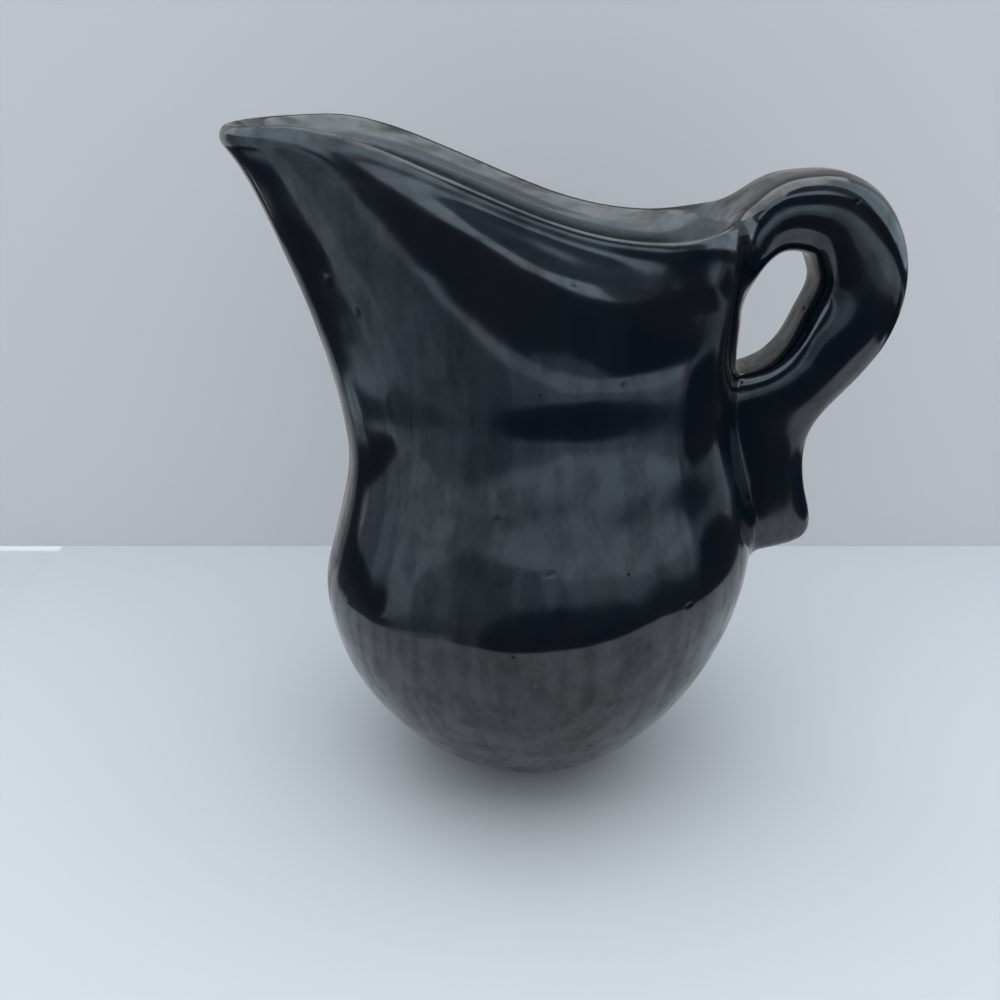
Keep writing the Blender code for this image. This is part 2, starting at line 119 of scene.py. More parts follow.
# Layout of the cage
SEGMENTS = 24
FRONT = SEGMENTS // 2
AT_BACK = (0, SEGMENTS - 1)  # segments to both sides of the middle of the handle
CROWDING = math.radians(6)
SPOUT_SEGMENTS = 4
BOWL_RINGS = 5
TAIL_ROWS = len(TAIL_STAND)
TAIL_RING = BOWL_RINGS       # the tail is seated from this ring up
NECK_RING = TAIL_RING + TAIL_ROWS
NECK_RINGS = 3
TOP_RING = NECK_RING + NECK_RINGS
BELLY_RING = BOWL_RINGS - 1
SMOOTHING = 4                # how often the faces of the cage are halved
PULLS = 4                    # how often the cage is pulled out towards the laid corners

# Thumb that went over the joins, and the share of its work that each place had
STROKES_OF_THUMB = 150
THUMB_STROKE = 0.5           # how far one stroke moves a point to the middle of its neighbours
THUMB_REACH = 2              # segments to each side of the strap
THUMB_ON_LIP = 0.8
THUMB_UNDER_LIP = 0.9
THUMB_ON_STRAP = 1.0
THUMB_ROUND_TAIL = 0.45

# Where use rubs the shine off, and where nobody burnished and the inside's light grey is partly
# dust and partly painted sheen, from 0 to 1
FOOT_RUBBED = 0.5
LIP_RUBBED = (0.2, 1.0, 0.3)   # its outer side, its crest and its inner side
LIP_INSIDE = (0.0, 0.0, 0.5)

PIECES = ("base_bowl", "belly_wall", "neck_wall", "spout", "rim_roll", "handle_arch", "handle_tail")
BASE, BELLY, NECK, SPOUT, RIM, ARCH, TAIL = range(len(PIECES))

# How the hands and the pebble worked the surface
WORK = {
    "Swell Depth": 0.00032,  # slow rise and fall left by the fingers
    "Swell Size": 0.030,
    "Facet Depth": 0.00007,  # flats left by the burnishing pebble
    "Facet Width": 0.0075,
    "Facet Length": 0.035,
    "Pit Density": 900.0,    # pits on a square metre of skin
    "Pit Radius": 0.0011,
    "Pit Depth": 0.00022,
}
SMALLEST_PIT = 0.35          # share of the radius and the depth above
WORK_SEED = 11


def ease(share):
    """A soft step from 0 to 1."""
    share = min(max(share, 0.0), 1.0)
    return share * share * (3.0 - 2.0 * share)


def angle_of(segment):
    """Angle of a segment.  They lie closer together at the spout and at the handle."""
    even = 2.0 * math.pi * segment / SEGMENTS
    return even - CROWDING * math.sin(2.0 * even)


def front_to_back(front, back, angle):
    """A size that changes round the pot from its value at the spout to that at the handle."""
    return front + (back - front) * (1.0 + math.cos(angle)) / 2.0


def around(front, side, back, angle):
    """A size with its own values at the spout, the sides and the handle."""
    end = back if math.cos(angle) > 0.0 else front
    return side + (end - side) * math.cos(angle) ** 2


def oval(angle, front, side, back):
    """A point on a level ring with its own reach to the front, the sides and the back."""
    reach = back if math.cos(angle) > 0.0 else front
    return reach * math.cos(angle), side * math.sin(angle)


def mouth_crest(angle):
    """A point on the crest of the lip."""
    middle = (MOUTH_BACK - SPOUT_REACH) / 2.0
    half_length = (MOUTH_BACK + SPOUT_REACH) / 2.0
    squareness = SPOUT_POINT if math.cos(angle) < 0.0 else BACK_FULLNESS
    across = math.sin(angle)
    width = math.copysign(abs(across) ** squareness, across) * MOUTH_HALF_WIDTH
    turn = math.acos(math.cos(angle))
    climb = ease((turn - SWOOP_START) / (SWOOP_END - SWOOP_START))
    height = SADDLE_HEIGHT + (SPOUT_HEIGHT - SADDLE_HEIGHT) * climb
    height -= SPOUT_TIP_DROP * ease((turn - SWOOP_END) / (math.pi - SWOOP_END))
    return Vector((middle + half_length * math.cos(angle), width, height))


def mouth_outward(angle):
    """Level direction away from the mouth, square to its lip."""
    step = math.pi / SEGMENTS
    along = mouth_crest(angle + step) - mouth_crest(angle - step)
    return Vector((along.y, -along.x, 0.0)).normalized()


def outer_wall(angle, height):
    """A point on the outside of the pot, below the lip."""
    belly_height = around(BELLY_HEIGHT_FRONT, BELLY_HEIGHT_SIDE, BELLY_HEIGHT_BACK, angle)
    waist_height = around(WAIST_HEIGHT_FRONT, WAIST_HEIGHT_SIDE, WAIST_HEIGHT_BACK, angle)
    waist = oval(angle, WAIST_RADIUS_FRONT, WAIST_RADIUS_SIDE, WAIST_RADIUS_BACK)
    belly = oval(angle, BELLY_RADIUS_FRONT, BELLY_RADIUS_SIDE, BELLY_RADIUS_BACK)
    if height < belly_height:
        # a rounded bowl whose lower end is cut off where it has narrowed to the foot
        widest = math.hypot(*belly)
        cut = (1.0 - (FOOT_RADIUS / widest) ** BOWL_FULLNESS) ** (1.0 / BOWL_FULLNESS)
        depth = cut * (1.0 - height / belly_height)
        share = (1.0 - depth ** BOWL_FULLNESS) ** (1.0 / BOWL_FULLNESS)
        x, y = belly[0] * share, belly[1] * share
    elif height < waist_height:
        share = ease((height - belly_height) / (waist_height - belly_height))
        x = belly[0] + (waist[0] - belly[0]) * share
        y = belly[1] + (waist[1] - belly[1]) * share
    else:
        lip = mouth_crest(angle) + mouth_outward(angle) * (LIP_THICKNESS / 2.0)
        climb = min(1.0, (height - waist_height) / (lip.z - waist_height))
        share = climb ** FLARE
        x = waist[0] + (lip.x - waist[0]) * share
        y = waist[1] + (lip.y - waist[1]) * share
        from_keel = math.pi - math.acos(math.cos(angle))
        swell = ease((climb - CHIN_START) / (CHIN_FULL - CHIN_START))
        x -= CHIN * swell * ease(1.0 - from_keel / CHIN_SPREAD)
    return Vector((x, y, height))


def root_share(segment):
    """1 where the strap leaves the rim, running out to 0 along the lip."""
    from_back = min(segment, SEGMENTS - segment)
    return ease((1 + ROOT_SPREAD - from_back) / ROOT_SPREAD)


def lip_depth(segment):
    """Height of the rim roll, which deepens to take the root of the strap."""
    return LIP_DEPTH + (ROOT_DEPTH - LIP_DEPTH) * root_share(segment)


def root_lift(segment):
    """Rise of the lip at the edges of the strap and the trough between them."""
    trough = ROOT_TROUGH if segment == 0 else 0.0
    return ROOT_EDGE_LIFT * root_share(segment) - trough


def tilted_ring(height):
    """Heights of a ring that lies lower at the spout than at the handle."""
    return [front_to_back(height - TAIL_RINGS_DROP, height, angle_of(s)) for s in range(SEGMENTS)]


def wall_rings():
    """Points of the outside, ring by ring from the edge of the foot to the foot of the lip."""
    rings = []
    for ring in range(BOWL_RINGS):
        share = 1.0 - math.cos(0.5 * math.pi * ring / BOWL_RINGS)
        rings.append([share * height for height in tilted_ring(TAIL_FOOT_HEIGHT)])
    tail_top = SADDLE_HEIGHT - NECK_HEIGHT - NECK_SEAM_RISE
    for row in range(TAIL_ROWS):
        height = TAIL_FOOT_HEIGHT + (tail_top - TAIL_FOOT_HEIGHT) * row / (TAIL_ROWS - 1)
        rings.append(tilted_ring(height))
    seam = [height + NECK_SEAM_RISE for height in rings[-1]]
    lip = [mouth_crest(angle_of(s)).z - lip_depth(s) for s in range(SEGMENTS)]
    for ring in range(NECK_RINGS + 1):
        share = ring / NECK_RINGS
        rings.append([low + (high - low) * share for low, high in zip(seam, lip)])
    return [[outer_wall(angle_of(s), height) for s, height in enumerate(ring)] for ring in rings]


def inward_offset(rings, ring, segment, distance):
    """The point of the inside that lies square through the wall."""
    below = rings[max(ring - 1, 0)][segment]
    above = rings[min(ring + 1, len(rings) - 1)][segment]
    left = rings[ring][segment - 1]
    right = rings[ring][(segment + 1) % SEGMENTS]
    outward = (right - left).cross(above - below).normalized()
    return rings[ring][segment] - outward * distance


class Cage:
    """Corners that the skin has to pass, with what the finish needs to know about them.

    inside is 1 in the pot, where nobody burnished; its light grey there is partly dust and partly
    painted sheen.  rubbed is 1 where use wears the shine off.
    run is a place in stroke space, whose Z goes the way that the pebble went.
    """

    def __init__(self):
        self.bm = bmesh.new()
        self.element = self.bm.faces.layers.int.new("element")
        self.inside = self.bm.verts.layers.float.new("inside")
        self.rubbed = self.bm.verts.layers.float.new("rubbed")
        self.run = self.bm.verts.layers.float_vector.new("run")
        self.thumbed = set()     # corners where clay was thumbed smooth between two elements
        self.softness = self.bm.verts.layers.deform.verify()

    def corner(self, point):
        vert = self.bm.verts.new(point)
        vert[self.run] = point
        return vert

    def ring(self, points, inside=0.0, rubbed=0.0):
        verts = [self.corner(point) for point in points]
        for vert in verts:
            vert[self.inside] = inside
            vert[self.rubbed] = rubbed
        return verts

    def soften(self, verts, share):
        """Let the thumb smooth the skin round these corners."""
        for vert in verts:
            vert[self.softness][0] = share

    def face(self, corners, piece):
        face = self.bm.faces.new(corners)
        face[self.element] = piece
        face.smooth = True

    def band(self, low, high, piece_of):
        """Faces between two closed rings.  piece_of gives the element, or None for no face."""
        count = len(low)
        for here in range(count):
            there = (here + 1) % count
            piece = piece_of(here)
            if piece is not None:
                self.face((low[here], low[there], high[there], high[here]), piece)


def smoothed_corner(vert):
    """Where the smooth skin passes a corner of the cage."""
    count = len(vert.link_edges)
    total = vert.co * (count * count)
    for edge in vert.link_edges:
        total += 4.0 * edge.other_vert(vert).co
    for face in vert.link_faces:
        corners = list(face.verts)
        total += corners[(corners.index(vert) + 2) % 4].co
    return total / (count * (count + 5))


def pull_cage_out(cage):
    """Move the corners out until the smooth skin passes where they were laid.

    Thumbed corners stay, so that the skin runs round them in a soft fillet.
    """
    free = [v for v in cage.bm.verts
            if v not in cage.thumbed and all(len(f.verts) == 4 for f in v.link_faces)]
    wanted = {v: v.co.copy() for v in free}
    for _ in range(PULLS):
        moved = {v: v.co + wanted[v] - smoothed_corner(v) for v in free}
        for vert, place in moved.items():
            vert.co = place


def wall_piece(ring, segment):
    """The element that a face of the wall belongs to."""
    if ring < BELLY_RING:
        return BASE
    if ring < NECK_RING:
        return BELLY
    in_spout = FRONT - SPOUT_SEGMENTS <= segment < FRONT + SPOUT_SEGMENTS
    return SPOUT if in_spout else NECK


def mean_place(verts):
    total = Vector()
    for vert in verts:
        total += vert.co
    return total / len(verts)


def strap_section(thickness):
    """Eight corners round the strap, across and through it: along the top, down a side,
    along the underside and up."""
    corner = STRAP_SQUARENESS
    shape = ((-corner, corner), (0.0, STRAP_HOLLOW), (corner, corner), (1.0, 0.0),
             (corner, -corner), (0.0, -STRAP_HOLLOW), (-corner, -corner), (-1.0, 0.0))
    wide, high = 0.5 * STRAP_WIDTH * STRAP_FULLNESS, 0.5 * thickness * STRAP_FULLNESS
    return [Vector((wide * u, high * v, 0.0)) for u, v in shape]


def across_and_through(along):
    """Directions across the strap, through its thickness and along it."""
    return Vector((0.0, 1.0, 0.0)), Vector((-along.z, 0.0, along.x)), along


def section_of(verts, axes):
    """Corners of a loop as steps across, through and along the strap from their middle."""
    middle = mean_place(verts)
    return [Vector([(vert.co - middle).dot(axis) for axis in axes]) for vert in verts]


def strap_rings(root, landing):
    """Rings that turn the root on the rim into the strap, and the strap into its landing."""
    start, end = mean_place(root), mean_place(landing)
    course = [(start.x, start.z), *((x, z) for x, z, _ in STRAP_COURSE), (end.x, end.z)]
    middles = [Vector((x, 0.0, z)) for x, z in course]
    last = len(middles) - 1
    at_root = across_and_through((middles[1] - middles[0]).normalized())
    at_landing = across_and_through((middles[-1] - middles[-2]).normalized())
    root_shape, landing_shape = section_of(root, at_root), section_of(landing, at_landing)
    rings = []
    for index, (_, _, thickness) in enumerate(STRAP_COURSE, start=1):
        axes = across_and_through((middles[index + 1] - middles[index - 1]).normalized())
        of_root = 1.0 - ease(index / (last * ROOT_REACH))
        of_landing = 1.0 - ease((last - index) / (last * LANDING_REACH))
        of_strap = 1.0 - of_root - of_landing
        ring = []
        for first, own, final in zip(root_shape, strap_section(thickness), landing_shape):
            step = first * of_root + own * of_strap + final * of_landing
            ring.append(middles[index] + sum((axis * part for axis, part in zip(axes, step)),
                                             Vector()))
        rings.append(ring)
    return rings


def lay_outside(cage, rings):
    """The outside of the wall, open at the seat of the tail."""
    outer = [cage.ring(points, rubbed=0.0 if ring else FOOT_RUBBED)
             for ring, points in enumerate(rings)]
    for ring in range(TOP_RING):
        has_seat = TAIL_RING <= ring < NECK_RING - 1
        cage.band(outer[ring], outer[ring + 1],
                  lambda s: None if has_seat and s in AT_BACK else wall_piece(ring, s))
    return outer


def lay_lip(cage, under):
    """The lip, open at the root of the strap: its outer side, its crest and its inner side."""
    sides_out, crests, sides_in = [], [], []
    for segment in range(SEGMENTS):
        angle = angle_of(segment)
        crest = mouth_crest(angle) + Vector((0.0, 0.0, root_lift(segment)))
        outward = mouth_outward(angle)
        drop = LIP_SIDE_DROP + (lip_depth(segment) - LIP_DEPTH) / 2.0
        half = outward * (LIP_THICKNESS / 2.0)
        sides_out.append(crest + half - Vector((0.0, 0.0, drop)))
        crests.append(crest + outward * LIP_CREST_SHIFT)
        sides_in.append(crest - half - Vector((0.0, 0.0, LIP_INNER_DROP)))
    side_out, crest_ring, side_in = (
        cage.ring(points, inside, rubbed)
        for points, inside, rubbed in zip((sides_out, crests, sides_in), LIP_INSIDE, LIP_RUBBED))
    cage.band(under, side_out, lambda s: None if s in AT_BACK else RIM)
    cage.band(side_out, crest_ring, lambda s: None if s in AT_BACK else RIM)
    cage.band(crest_ring, side_in, lambda s: RIM)
    return side_out, crest_ring, side_in


def lay_inside(cage, rings, side_in, foot):
    """The inside from the lip down to the floor, and both faces of the bottom."""
    inner = [cage.ring([inward_offset(rings, ring, s, WALL) for s in range(SEGMENTS)], inside=1.0)
             for ring in range(TOP_RING + 1)]
    cage.band(side_in, inner[TOP_RING], lambda s: RIM)
    for ring in reversed(range(TOP_RING)):
        cage.band(inner[ring + 1], inner[ring], lambda s: wall_piece(ring, s))
    for vert in inner[0]:
        vert.co.z = FLOOR_THICKNESS
    foot_middle = cage.corner((0.0, 0.0, -FOOT_CROWN))
    floor_middle = cage.corner((0.0, 0.0, FLOOR_THICKNESS - FOOT_CROWN))
    floor_middle[cage.inside] = 1.0
    for here in range(SEGMENTS):
        there = (here + 1) % SEGMENTS
        cage.face((foot[there], foot[here], foot_middle), BASE)
        cage.face((inner[0][here], inner[0][there], floor_middle), BASE)


def lay_row(cage, points, with_middle):
    """Corners of a row of three, or only its two ends."""
    return [cage.corner(point) if with_middle or column != 1 else None
            for column, point in enumerate(points)]


def patch_edge(rows):
    """Corners round a patch three corners wide, against the clock seen from outside."""
    edge = list(rows[0])
    edge += [row[2] for row in rows[1:-1]]
    edge += list(reversed(rows[-1]))
    edge += [row[0] for row in reversed(rows[1:-1])]
    return edge


def lay_tail(cage, outer):
    """A stub drawn up from the belly, and the tail on it, open where the strap lands.

    Gives the rows of the tail, and the edges of its seat, of the stub and of the tail itself.
    """
    seat_rows = [[outer[TAIL_RING + row][s] for s in (SEGMENTS - 1, 0, 1)]
                 for row in range(TAIL_ROWS)]
    stub_rows, tail_rows = [], []
    for row, (stand, rise, share) in enumerate(zip(TAIL_STAND, TAIL_RISE, TAIL_WIDTH_SHARES)):
        middle = seat_rows[row][1].co
        stub, tail = [], []
        for side, vert in zip((-1.0, 0.0, 1.0), seat_rows[row]):
            edge = side * 0.5 * TAIL_WIDTH * share
            lift = rise * TAIL_STUB / stand
            stub.append(vert.co + Vector((TAIL_STUB, (edge - vert.co.y) / 2.0, lift)))
            tail.append(Vector((middle.x + stand - TAIL_EDGE * abs(side), edge, middle.z + rise)))
        stub_rows.append(lay_row(cage, stub, with_middle=row in (0, TAIL_ROWS - 1)))
        tail_rows.append(lay_row(cage, tail, with_middle=row != TAIL_ROWS - 2))
    for vert in tail_rows[0]:
        vert[cage.rubbed] = 1.0
    seat_edge, stub_edge, tail_edge = map(patch_edge, (seat_rows, stub_rows, tail_rows))
    cage.band(seat_edge, stub_edge, lambda s: BELLY)
    cage.band(stub_edge, tail_edge, lambda s: TAIL)
    for low, high in zip(tail_rows[:-3], tail_rows[1:-2]):
        for column in range(2):
            cage.face((low[column], low[column + 1], high[column + 1], high[column]), TAIL)
    return tail_rows, seat_edge, stub_edge, tail_edge


def lay_strap(cage, root, landing):
    """The strap from its root to its landing, whose first bands belong to the lip and the tail."""
    loops = [root] + [cage.ring(ring) for ring in strap_rings(root, landing)] + [landing]
    pieces = [RIM] + [ARCH] * (len(loops) - 3) + [TAIL]
    for piece, low, high in zip(pieces, loops, loops[1:]):
        cage.band(low, high, lambda s: piece)
    lay_strap_run(cage, loops)
    return loops


def lay_strap_run(cage, loops):
    """Stroke space of the strap, from its landing up and over to its root."""
    travelled = mean_place(loops[-1]).z
    for later, earlier in zip(loops[:0:-1], loops[-2:0:-1]):
        here, there = mean_place(later), mean_place(earlier)
        travelled += (there - here).length
        thick = across_and_through((here - there).normalized())[1]
        for vert in earlier:
            out = (vert.co - there).dot(thick)
            vert[cage.run] = (BELLY_RADIUS_BACK + out, vert.co.y, travelled)


def build_cage():
    """The whole pot as one closed cage."""
    cage = Cage()
    rings = wall_rings()
    outer = lay_outside(cage, rings)
    top = outer[TOP_RING]
    side_out, crest_ring, side_in = lay_lip(cage, top)
    lay_inside(cage, rings, side_in, outer[0])
    tail_rows, seat_edge, stub_edge, tail_edge = lay_tail(cage, outer)
    root = [crest_ring[-1], crest_ring[0], crest_ring[1], side_out[1],
            top[1], top[0], top[-1], side_out[-1]]
    low, beside, under = tail_rows[-3:]
    landing = [low[0], low[1], low[2], beside[2], under[2], under[1], under[0], beside[0]]
    loops = lay_strap(cage, root, landing)

    # joins that stay soft, and how much of the thumb's work each place had
    on_tail = [vert for row in tail_rows for vert in row if vert]
    cage.thumbed.update(seat_edge, stub_edge, on_tail, *loops[:-1])
    near_strap = range(-THUMB_REACH, THUMB_REACH + 1)
    for ring in outer[NECK_RING - 1:] + [side_out, crest_ring, side_in]:
        cage.soften([ring[s] for s in near_strap], THUMB_ON_LIP)
    cage.soften(top, THUMB_UNDER_LIP)
    for loop in loops:
        cage.soften(loop, THUMB_ON_STRAP)
    cage.soften(seat_edge + stub_edge + tail_edge, THUMB_ROUND_TAIL)
    covered = [vert for vert in cage.bm.verts if not vert.link_faces]
    bmesh.ops.delete(cage.bm, geom=covered, context='VERTS')
    return cage


def fill(tree, item, inputs):
    """Link or set the inputs of a node, by name or number.  Colours are given without alpha."""
    for label, value in inputs.items():
        socket = item.inputs[label]
        if isinstance(value, bpy.types.NodeSocket):
            tree.links.new(value, socket)
        elif socket.type == 'RGBA':
            socket.default_value = (*value, 1.0)
        else:
            socket.default_value = value


def node(tree, kind, inputs=None, **settings):
    """A new node with its settings and inputs."""
    item = tree.nodes.new(kind)
    for setting, value in settings.items():
        setattr(item, setting, value)
    fill(tree, item, inputs or {})
    return item


def group(kind, name, inputs, outputs):
    """An empty node group with its named sockets."""
    tree = bpy.data.node_groups.new(name, kind)
    for in_out, sockets in (('INPUT', inputs), ('OUTPUT', outputs)):
        for label, content in sockets.items():
            tree.interface.new_socket(label, in_out=in_out, socket_type="NodeSocket" + content)
    return tree, tree.nodes.new('NodeGroupInput').outputs, tree.nodes.new('NodeGroupOutput')


def maths(tree, operation, *values, clamp=False):
    return node(tree, 'ShaderNodeMath', dict(enumerate(values)), operation=operation,
                use_clamp=clamp).outputs[0]


def times(tree, first, second):
    return maths(tree, 'MULTIPLY', first, second)


def one_over(tree, value):
    return maths(tree, 'DIVIDE', 1.0, value)


def add_up(tree, total, parts, clamp=False):
    """Add each mask times its weight.  Only the last sum is clamped."""
    for number, (mask, weight) in enumerate(parts, start=1):
        last = number == len(parts)
        total = maths(tree, 'ADD', total, times(tree, mask, weight), clamp=clamp and last)
    return total


def noise(tree, place, scale, detail, roughness, distortion=0.0):
    return node(tree, 'ShaderNodeTexNoise', {
        "Vector": place, "Scale": scale, "Detail": detail, "Roughness": roughness,
        "Distortion": distortion}).outputs["Fac"]


def spread(tree, value, low, high, to_low=0.0, to_high=1.0, soft=True):
    """Stretch the range from low to high over a new range."""
    return node(tree, 'ShaderNodeMapRange', {
        "Value": value, "From Min": low, "From Max": high, "To Min": to_low, "To Max": to_high,
    }, interpolation_type='SMOOTHSTEP' if soft else 'LINEAR').outputs["Result"]


def in_strokes(tree, run, width, length):
    """A place counted in strokes, which are long along Z."""
    size = node(tree, 'ShaderNodeCombineXYZ', {"X": width, "Y": width, "Z": length})
    return node(tree, 'ShaderNodeVectorMath', {0: run, 1: size.outputs[0]},
                operation='DIVIDE').outputs[0]


def swell_noise(tree, place, scale):
    """A soft noise between -1 and 1."""
    wave = noise(tree, place, scale, detail=1.5, roughness=0.45)
    return spread(tree, wave, 0.0, 1.0, -1.0, 1.0, soft=False)


def worked_surface_tree(raw_clay):
    """Geometry nodes that work a smooth skin over: swells, pebble flats and small pits."""
    tree, given, result = group(
        'GeometryNodeTree', "worked_surface",
        {"Geometry": 'Geometry', **dict.fromkeys(WORK, 'Float'), "Seed": 'Int'},
        {"Geometry": 'Geometry'})

    # slow swells, and flats that are long the way the pebble went
    position = node(tree, 'GeometryNodeInputPosition').outputs[0]
    swell = swell_noise(tree, position, one_over(tree, given["Swell Size"]))
    run = node(tree, 'GeometryNodeInputNamedAttribute', {"Name": "run"},
               data_type='FLOAT_VECTOR').outputs["Attribute"]
    flats = in_strokes(tree, run, given["Facet Width"], given["Facet Length"])
    facet = swell_noise(tree, flats, 1.0)
    worked = maths(tree, 'ADD', times(tree, swell, given["Swell Depth"]),
                   times(tree, facet, given["Facet Depth"]))

    # pits: every corner looks for the nearest pit and sinks if it lies within its radius
    pits = node(tree, 'GeometryNodeDistributePointsOnFaces', {
        "Mesh": given["Geometry"], "Density": given["Pit Density"], "Seed": given["Seed"],
    }, distribute_method='RANDOM').outputs["Points"]
    away = node(tree, 'GeometryNodeProximity', {"Geometry": pits},
                target_element='POINTS').outputs["Distance"]
    closest = node(tree, 'GeometryNodeSampleNearest', {"Geometry": pits}, domain='POINT')
    share = node(tree, 'FunctionNodeRandomValue', {
        2: SMALLEST_PIT, 3: 1.0, "ID": closest.outputs["Index"], "Seed": given["Seed"],
    }, data_type='FLOAT').outputs[1]
    radius = times(tree, share, given["Pit Radius"])
    hollow = spread(tree, away, 0.0, radius, -1.0, 0.0)
    depth = times(tree, share, given["Pit Depth"])
    height = maths(tree, 'ADD', worked, times(tree, hollow, depth))

    normal = node(tree, 'GeometryNodeInputNormal').outputs[0]
    offset = node(tree, 'ShaderNodeVectorMath', {0: normal, "Scale": height},
                  operation='SCALE').outputs[0]
    pressed = node(tree, 'GeometryNodeSetPosition',
                   {"Geometry": given["Geometry"], "Offset": offset}).outputs["Geometry"]
    sunk = times(tree, hollow, -1.0)
    marked = node(tree, 'GeometryNodeStoreNamedAttribute',
                  {"Geometry": pressed, "Name": "pitted", "Value": sunk},
                  data_type='FLOAT', domain='POINT').outputs["Geometry"]
    whole = node(tree, 'GeometryNodeRealizeInstances', {"Geometry": marked}).outputs["Geometry"]
    finish = node(tree, 'GeometryNodeSetMaterial', {"Geometry": whole, "Material": raw_clay})
    fill(tree, result, {"Geometry": finish.outputs["Geometry"]})
    return tree


def in_scene(name, data):
    item = bpy.data.objects.new(name, data)
    bpy.context.scene.collection.objects.link(item)
    return item


def read_all(items, label, kind, width=1):
    """One value of every item as a flat array."""
    values = np.empty(len(items) * width, kind)
    items.foreach_get(label, values)
    return values


def set_inputs(modifier, values):
    """Give a geometry tree its sizes by the name of each input."""
    for item in modifier.node_group.interface.items_tree:
        if item.in_out == 'INPUT' and item.name in values:
            modifier[item.identifier] = values[item.name]


def smooth_skin(bm, raw_clay):
    """The cage as a mesh: smoothed, then worked over."""
    mesh = bpy.data.meshes.new("clay_skin")
    bm.to_mesh(mesh)
    guide = in_scene("clay_guide", mesh)
    skin = guide.modifiers.new("skin", 'SUBSURF')
    skin.levels = SMOOTHING
    skin.render_levels = SMOOTHING
    skin.use_limit_surface = True
    guide.vertex_groups.new(name="softness")
    thumb = guide.modifiers.new("thumb", 'SMOOTH')
    thumb.factor = THUMB_STROKE
    thumb.iterations = STROKES_OF_THUMB
    thumb.vertex_group = "softness"
    worked = guide.modifiers.new("worked", 'NODES')
    worked.node_group = worked_surface_tree(raw_clay)
    set_inputs(worked, {**WORK, "Seed": WORK_SEED})
    bpy.context.view_layer.update()
    smooth = bpy.data.meshes.new_from_object(guide.evaluated_get(
        bpy.context.evaluated_depsgraph_get()))
    bpy.data.objects.remove(guide, do_unlink=True)
    bpy.data.meshes.remove(mesh)
    note = smooth.attributes.new("skin_normal", 'FLOAT_VECTOR', 'POINT')
    note.data.foreach_set("vector", read_all(smooth.vertex_normals, "vector", np.float32, 3))
    return smooth


def border_loops(bm):
    """The open borders of a mesh as separate lists of edges."""
    waiting = dict.fromkeys(edge for edge in bm.edges if len(edge.link_faces) == 1)
    loops = []
    while waiting:
        edge = next(iter(waiting))
        del waiting[edge]
        loop, front = [edge], list(edge.verts)
        while front:
            vert = front.pop()
            for link in vert.link_edges:
                if link in waiting:
                    del waiting[link]
                    loop.append(link)
                    front += [v for v in link.verts if v is not vert]
        loops.append(loop)
    return loops


def in_order(loop):
    """Corners of a closed border in the order they follow each other."""
    edges = set(loop)
    start = min((vert for edge in loop for vert in edge.verts), key=lambda v: tuple(v.co))
    vert, edge = start, next(link for link in start.link_edges if link in edges)
    corners = []
    while not corners or vert is not start:
        corners.append(vert)
        vert = edge.other_vert(vert)
        edge = next(link for link in vert.link_edges if link in edges and link is not edge)
    return corners


def join_through_wall(bm, first, second):
    """Faces between two borders that face each other across the wall."""
    here, there = in_order(first), in_order(second)
    count = len(here)
    near = np.array([vert.co for vert in here])
    far = np.array([vert.co for vert in there])
    best = None
    for way in (1, -1):
        for shift in range(count):
            order = [(shift + way * index) % count for index in range(count)]
            spread = float(((near - far[order]) ** 2).sum())
            if best is None or spread < best[0]:
                best = (spread, order)
    facing = [there[index] for index in best[1]]
    for index in range(count):
        after = (index + 1) % count
        bm.faces.new((here[index], here[after], facing[after], facing[index]))


def loop_middle(loop):
    return mean_place(dict.fromkeys(vert for edge in loop for vert in edge.verts))


def cap(bm, loop):
    """Close the cut end of the strap, or a flat foot, with a fan of faces."""
    face = bmesh.ops.contextual_create(bm, geom=loop)["faces"][0]
    face.smooth = False
    for part in bmesh.ops.poke(bm, faces=[face])["faces"]:
        part.smooth = False


def close_borders(bm):
    """Join outside to inside through the wall, and close the cuts of the strap behind it."""
    wall_loops = []
    for loop in border_loops(bm):
        if loop_middle(loop).x > MOUTH_BACK / 2.0:
            cap(bm, loop)
        else:
            wall_loops.append(loop)
    wall_loops.sort(key=lambda loop: loop_middle(loop).z)
    for first, second in zip(wall_loops[0::2], wall_loops[1::2]):
        join_through_wall(bm, first, second)


def rub_foot_flat(bm):
    """Take off what hangs below the ground and close the foot with a flat face."""
    everything = bm.verts[:] + bm.edges[:] + bm.faces[:]
    bmesh.ops.bisect_plane(bm, geom=everything, plane_co=(0.0, 0.0, 0.0),
                           plane_no=(0.0, 0.0, 1.0), clear_inner=True)
    cap(bm, [edge for edge in bm.edges if len(edge.link_faces) == 1])


def keep_skin_shading(mesh):
    """Shade the skin of a piece as part of the whole pot, so that no seam shows."""
    note = mesh.attributes["skin_normal"]
    skin = read_all(note.data, "vector", np.float32, 3)
    corner_vert = read_all(mesh.loops, "vertex_index", np.int32)
    sides = read_all(mesh.polygons, "loop_total", np.int32)
    smooth = read_all(mesh.polygons, "use_smooth", bool)
    flat = read_all(mesh.polygons, "normal", np.float32, 3)
    normals = skin.reshape(-1, 3)[corner_vert]
    on_cut = np.repeat(~smooth, sides)
    normals[on_cut] = np.repeat(flat.reshape(-1, 3), sides, axis=0)[on_cut]
    mesh.attributes.remove(note)
    mesh.normals_split_custom_set(normals)


